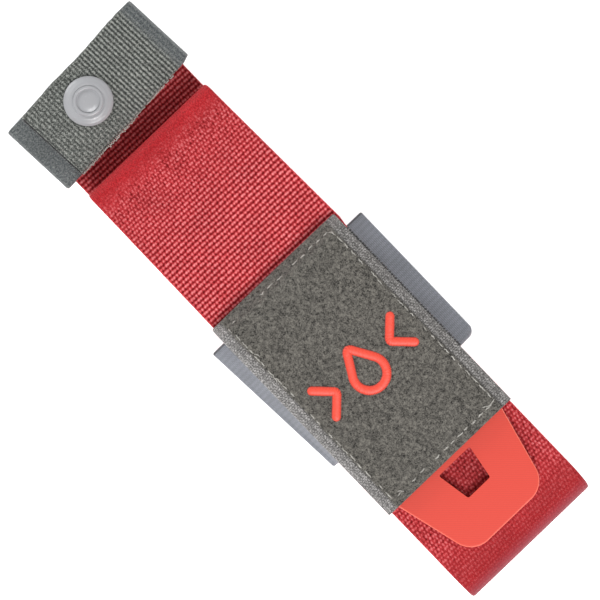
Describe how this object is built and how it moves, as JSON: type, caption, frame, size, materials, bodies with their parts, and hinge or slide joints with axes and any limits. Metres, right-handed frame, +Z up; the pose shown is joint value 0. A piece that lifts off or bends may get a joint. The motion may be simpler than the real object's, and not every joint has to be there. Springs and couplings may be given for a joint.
{
  "type": "folded windlass tourniquet",
  "caption": "Flat-folded webbing tourniquet with a turning key, a hinged fabric cover over it, a wide keeper loop and a snap band round its tail.",
  "frame": {"origin": "on the turning axis of the windlass key, at the height of the resting face", "axes": "+X along the strap towards its big rounded fold, +Y across the strap towards the fold of the snap band, +Z up through the key and the cover"},
  "size_m": [0.1599, 0.049, 0.0254],
  "materials": {
    "strap_red": "ribbed nylon webbing",
    "webbing_grey": "nylon webbing",
    "thread_dark": "sewing thread",
    "thread_pale": "sewing thread",
    "thread_coral": "satin-stitch embroidery",
    "loop_felt": "napped loop fabric",
    "hook_black": "hook fabric",
    "ribbon_black": "flat nylon ribbon",
    "key_coral": "moulded, finely textured",
    "plate_dark": "moulded",
    "buckle_grey": "moulded",
    "cap_grey": "milky moulded plastic",
    "snap_metal": "plated"
  },
  "bodies": {
    "strap_pack": {"main_strap": "strap_red", "base_plate": "plate_dark", "tension_ribbon": "ribbon_black", "buckle": "buckle_grey", "strap_stitches": "thread_dark", "keeper_loop": "webbing_grey", "keeper_stitches": "thread_dark", "cover_anchor": "webbing_grey", "anchor_stitches": "thread_dark"},
    "windlass": {"windlass_key": "key_coral", "ribbon_loop": "ribbon_black", "key_pads": "loop_felt"},
    "cover": {"cover_backing": "webbing_grey", "cover_face": "loop_felt", "cover_mark": "thread_coral", "cover_stitches": "thread_pale", "cover_hook_pad": "hook_black"},
    "tail": {"strap_tail": "strap_red", "band_base": "webbing_grey", "band_stitches": "thread_dark", "snap_stud": "snap_metal", "snap_rivet": "snap_metal"},
    "snap_flap": {"band_flap": "webbing_grey", "snap_cap": "cap_grey", "snap_socket": "snap_metal"}
  },
  "joints": [
    {"name": "windlass_turn", "type": "hinge", "parent": "strap_pack", "child": "windlass", "pos_m": [0, 0, 0.0204], "axis": [0, 0, 1], "range_deg": [0, 810]},
    {"name": "cover_open", "type": "hinge", "parent": "strap_pack", "child": "cover", "pos_m": [-0.0434, 0, 0.02275], "axis": [0, -1, 0], "range_deg": [0, 170]},
    {"name": "tail_pull", "type": "slide", "parent": "strap_pack", "child": "tail", "axis": [-1, 0, 0], "range_m": [0, 0.028]},
    {"name": "snap_open", "type": "hinge", "parent": "tail", "child": "snap_flap", "pos_m": [-0.10408, 0.02086, 0.0075], "axis": [-0.9981, -0.061, 0], "range_deg": [0, 150]}
  ]
}
